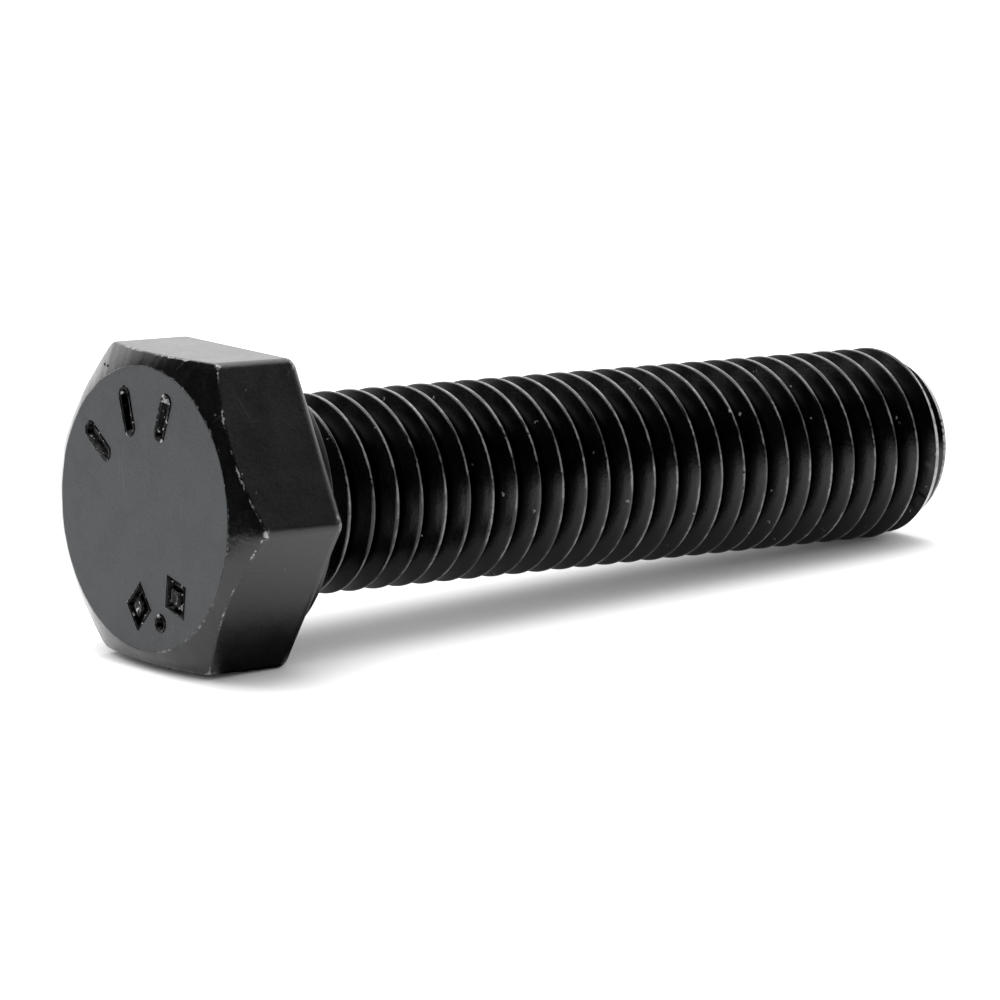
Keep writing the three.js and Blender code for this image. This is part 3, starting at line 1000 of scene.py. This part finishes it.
def thread_material(settings):
    finish = settings.finish
    sizes = settings.thread
    material, tree, surface, position = new_material("blackened_thread")
    oxide = shared(tree, "Blackened oxide", oxide_group, {
        "Position": position, "Black": rgba(finish.thread_black), "Grey": rgba(finish.grey),
        "Roughness": finish.thread_roughness, "Greyness": 0.06, "Blotches": 0.2})
    parts = add(tree, "ShaderNodeSeparateXYZ", {"Vector": position}).outputs
    crest = (sizes.diameter - sizes.crest_allowance) / 2 / MM
    below = larger(tree, minus(tree, crest, from_axis(tree, parts)), 0)
    worn = shared(tree, "Edge wear", wear_group, {
        "Position": position, "Distance": below, "Width": 0.014, "Amount": 0.32})["Mask"]
    dust = shared(tree, "Specks", speck_group, {
        "Position": position, "Scale": 0.9, "Size": 0.1, "Share": 0.4})["Mask"]
    height = minus(tree, oxide["Height"], times(tree, worn, 0.3))
    depth = (sizes.root_depth - sizes.crest_allowance / 2) / MM
    # painted shade: the bottom of the groove, between the flanks, is painted black, and the painting fades
    # out along the point
    painted_shade = ramp(tree, below, depth * 0.72, depth * 0.93)
    threaded = ramp(tree, parts["X"], (SHANK_HIGH.x - sizes.point_length) / MM, SHANK_HIGH.x / MM - 0.9, 1, 0)
    painted_shade = times(tree, painted_shade, threaded)
    join_surface(tree, surface, finish, oxide, painted_shade, worn, times(tree, dust, 0.25), height, 0.45, 0.06 * MM)
    surface.inputs["Specular IOR Level"].default_value = 0.4
    return material


# ---- stage


def resting_tilt():
    """The slope at which a floor touches both the head's rear edge and the thread near the point, and its
    height at the origin. The slope is found by halving until both lie equally low."""
    points = {}
    for node in ("hex_head", "threaded_shank"):
        points[node] = [Vector((v.co.x, 0, v.co.z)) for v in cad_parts[node].data.vertices]
    low, high = 0.0, math.radians(12)
    for _ in range(40):
        slope = (low + high) / 2
        normal = Vector((-math.sin(slope), 0, math.cos(slope)))
        head = min(point.dot(normal) for point in points["hex_head"])
        shank = min(point.dot(normal) for point in points["threaded_shank"])
        if shank > head:
            low = slope
        else:
            high = slope
    return slope, min(head, shank)


def plain_material(name, tint, roughness, specular):
    material = bpy.data.materials.new(name)
    material.use_nodes = True
    surface = material.node_tree.nodes["Principled BSDF"]
    surface.inputs["Base Color"].default_value = rgba(tint)
    surface.inputs["Roughness"].default_value = roughness
    surface.inputs["Specular IOR Level"].default_value = specular
    return material


def stage_floor(settings):
    slope, height = resting_tilt()
    normal = Vector((-math.sin(slope), 0, math.cos(slope)))
    deselect()
    bpy.ops.mesh.primitive_plane_add(
        size=settings.floor_size, rotation=(0, -slope, 0), location=normal * height)
    floor = just_added("floor")
    floor.data.materials.append(plain_material("floor", settings.floor, 0.7, 0.2))
    return normal, height


def camera_back(settings):
    """From the aim towards the camera."""
    flat = math.cos(settings.elevation)
    return Vector(
        (math.sin(settings.azimuth) * flat, -math.cos(settings.azimuth) * flat,
        math.sin(settings.elevation)))


def stage_camera(settings):
    back = camera_back(settings)
    bpy.ops.object.camera_add(location=Vector(settings.aim) + back * settings.distance)
    camera = bpy.context.object
    turn = (-back).to_track_quat("-Z", "Y").to_matrix()
    roll = Matrix.Rotation(settings.roll, 3, Vector((0, 0, 1)))
    camera.rotation_mode = "QUATERNION"
    camera.rotation_quaternion = (turn @ roll).to_quaternion()
    camera.data.lens = settings.lens
    camera.data.sensor_width = 36
    camera.data.clip_start = 0.01
    camera.data.clip_end = 20
    bpy.context.scene.camera = camera


def area_light(name, location, aim, size, power):
    bpy.ops.object.light_add(type="AREA", location=location)
    light = bpy.context.object
    light.name = name
    light.data.shape = "SQUARE"
    light.data.size = size
    light.data.energy = power
    light.rotation_mode = "QUATERNION"
    light.rotation_quaternion = (Vector(aim) - Vector(location)).to_track_quat("-Z", "Y")
    light.visible_camera = False


def black_card(name, middle, size, turn):
    """A black card that only reflections see, to keep a side of the bolt dark."""
    deselect()
    bpy.ops.mesh.primitive_plane_add(size=1, rotation=turn, location=middle)
    card = bpy.context.object
    card.scale = (*size, 1)
    card = just_added(name)
    card.data.materials.append(plain_material(name, (0, 0, 0), 0.5, 0))
    card.visible_camera = False
    card.visible_diffuse = False
    card.visible_shadow = False


def stage_world(settings):
    """Soft light, brighter from behind the bolt than from the camera's side; plain white where it shows."""
    world = bpy.data.worlds.new("studio")
    bpy.context.scene.world = world
    world.use_nodes = True
    tree = world.node_tree
    tree.nodes.clear()
    away = -camera_back(settings)
    away = Vector((away.x, away.y, 0.35)).normalized()
    direction = add(tree, "ShaderNodeTexCoord").outputs["Generated"]
    facing = vector_calc(tree, "DOT_PRODUCT", direction, tuple(away))
    mirrored = ramp(tree, facing["Value"], 0.35, 0.9, settings.front_world, settings.back_world)
    ray = add(tree, "ShaderNodeLightPath").outputs
    even = times(tree, ray["Is Diffuse Ray"], settings.ambient)
    level = calc(tree, "ADD", even, ray["Is Camera Ray"])
    level = calc(tree, "ADD", level, times(tree, ray["Is Glossy Ray"], mirrored))
    lit = add(tree, "ShaderNodeBackground", {"Color": (1, 1, 1, 1), "Strength": level})
    output = add(tree, "ShaderNodeOutputWorld")
    tree.links.new(lit.outputs[0], output.inputs["Surface"])


class BOLT_OT_stage(Operator):
    """Sets the camera, the pale floor under the bolt and the soft studio light"""
    bl_idname = "bolt.stage"
    bl_label = "Stage"

    def execute(self, context):
        settings = context.scene.bolt.stage
        normal, floor_height = stage_floor(settings)
        stage_camera(settings)
        middle = (CAD_LOW + CAD_HIGH) / 2
        above = middle + normal * OVERHEAD_HEIGHT + Vector((0, OVERHEAD_BACK, 0))
        area_light("overhead", above, middle, OVERHEAD_SIZE, settings.key_power)
        side = Vector((-settings.card_distance, *SIDE_CARD_MIDDLE))
        black_card("side_card", side, SIDE_CARD_SIZE, ALONG_X)
        under = Vector((*FLOOR_CARD_MIDDLE, 0))
        under.z = (floor_height - normal.x * under.x) / normal.z + FLOOR_CARD_LIFT
        black_card("floor_card", under, FLOOR_CARD_SIZE, (0, -math.asin(-normal.x), 0))
        stage_world(settings)
        context.scene.view_settings.view_transform = "Standard"
        context.scene.view_settings.look = "None"
        return {"FINISHED"}


# ---- add-on


PANEL_BOXES = (
    ("bolt.head", ("head", "marks")),
    ("bolt.shank", ("thread", "finish")),
    ("bolt.stage", ("stage",)),
)


class BOLT_PT_panel(Panel):
    """Lists what can be modelled, each with its settings; the finish is for both pieces"""
    bl_idname = "BOLT_PT_panel"
    bl_label = "Hex bolt"
    bl_space_type = "VIEW_3D"
    bl_region_type = "UI"
    bl_category = "Hex bolt"

    def draw(self, context):
        settings = context.scene.bolt
        for operator, names in PANEL_BOXES:
            box = self.layout.box()
            box.operator(operator)
            for name in names:
                sizes = getattr(settings, name)
                for prop in sizes.bl_rna.properties:
                    if not prop.is_readonly and prop.identifier != "name":
                        box.prop(sizes, prop.identifier)


CLASSES = (
    BoltHeadSizes, BoltMarkSizes, BoltThreadSizes, BoltFinish, BoltStageSettings, BoltSettings,
    BOLT_OT_head, BOLT_OT_shank, BOLT_OT_stage, BOLT_PT_panel)


def register():
    for made in CLASSES:
        bpy.utils.register_class(made)
    bpy.types.Scene.bolt = PointerProperty(type=BoltSettings)


def unregister():
    del bpy.types.Scene.bolt
    for made in reversed(CLASSES):
        bpy.utils.unregister_class(made)


def main():
    register()
    bpy.ops.bolt.stage()
    bpy.ops.bolt.head()
    bpy.ops.bolt.shank()
    deselect()


if __name__ == "__main__":
    main()
